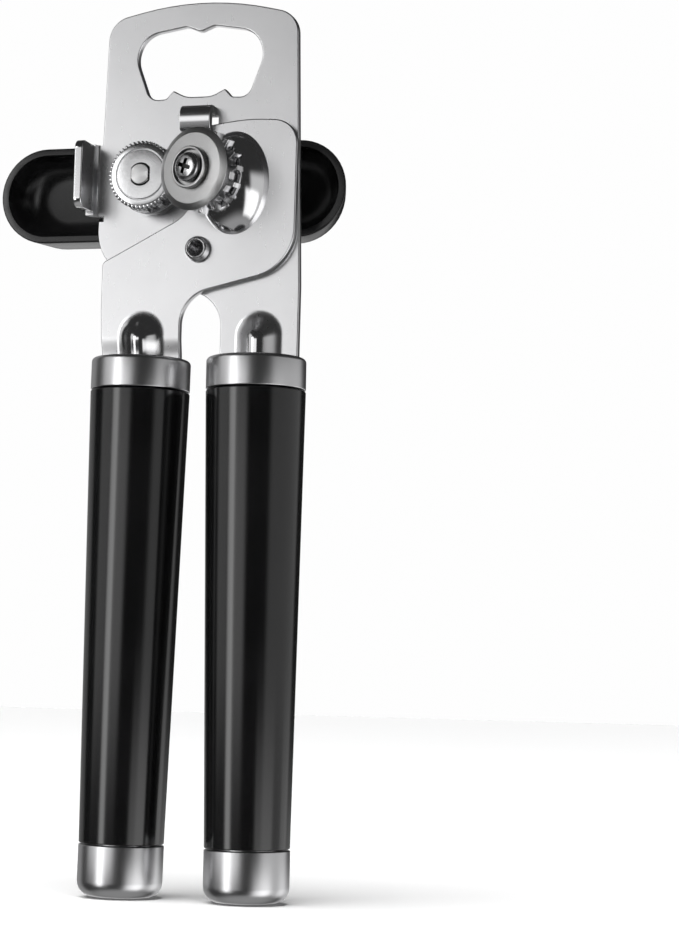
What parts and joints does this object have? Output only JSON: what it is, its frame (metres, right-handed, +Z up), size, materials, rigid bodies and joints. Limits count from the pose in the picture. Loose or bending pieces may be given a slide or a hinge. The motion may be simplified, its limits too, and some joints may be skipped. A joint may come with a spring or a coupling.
{
  "type": "manual can opener",
  "caption": "Hand-held can opener: two riveted levers with tubular grips, a crank knob turning a toothed feed wheel, a geared tilted cutting wheel and a bottle-opener mouth.",
  "frame": {"origin": "bottom centre of the bounding box: between the handle ends, on the crank axis left to right", "axes": "+Z up along the handles to the head, +X to the right seen from the cutting-wheel side, +Y back towards the crank knob"},
  "size_m": [0.0886, 0.0402, 0.2121],
  "materials": {
    "polished_plate": "mirror-polished stainless sheet",
    "satin_steel": "satin nickel-coloured sleeve",
    "cutter_steel": "turned and ground",
    "toothed_steel": "bright plated, cut teeth",
    "fastener_steel": "plated",
    "grip_plastic": "high gloss black",
    "knob_plastic": "semi-gloss black",
    "core_nylon": "matte black"
  },
  "bodies": {
    "rear_lever": {"rear_plate": "polished_plate", "pivot_rivet": "fastener_steel", "pivot_washer": "fastener_steel", "shaft_bushing": "fastener_steel", "rear_washer": "fastener_steel", "right_ferrule": "satin_steel", "right_grip": "grip_plastic", "right_core": "core_nylon", "right_end_cap": "satin_steel", "right_tang_pin": "fastener_steel"},
    "front_lever": {"front_plate": "polished_plate", "cutter_post": "fastener_steel", "cutter_collar": "fastener_steel", "cutter_screw": "fastener_steel", "gear_washer": "fastener_steel", "left_ferrule": "satin_steel", "left_grip": "grip_plastic", "left_core": "core_nylon", "left_end_cap": "satin_steel", "left_tang_pin": "fastener_steel"},
    "crank": {"crank_shaft": "fastener_steel", "feed_wheel": "toothed_steel", "feed_gear": "toothed_steel", "feed_washer": "fastener_steel", "crank_collar": "fastener_steel", "crank_knob": "knob_plastic", "knob_screw": "fastener_steel"},
    "cutter": {"cutter_wheel": "cutter_steel", "cutter_gear": "toothed_steel"}
  },
  "joints": [
    {"name": "lever_hinge", "type": "hinge", "parent": "rear_lever", "child": "front_lever", "pos_m": [0.0122, 0, 0.15185], "axis": [0, 1, 0], "range_deg": [0, 24]},
    {"name": "crank_spin", "type": "hinge", "parent": "rear_lever", "child": "crank", "pos_m": [0, 0, 0.16865], "axis": [0, 1, 0], "continuous": true},
    {"name": "cutter_spin", "type": "hinge", "parent": "front_lever", "child": "cutter", "pos_m": [0.0143, -0.01674, 0.16865], "axis": [0.342, 0.9397, 0], "continuous": true}
  ],
  "couplings": [
    {"joint": "cutter_spin", "follows": "crank_spin", "ratio": -0.8}
  ]
}
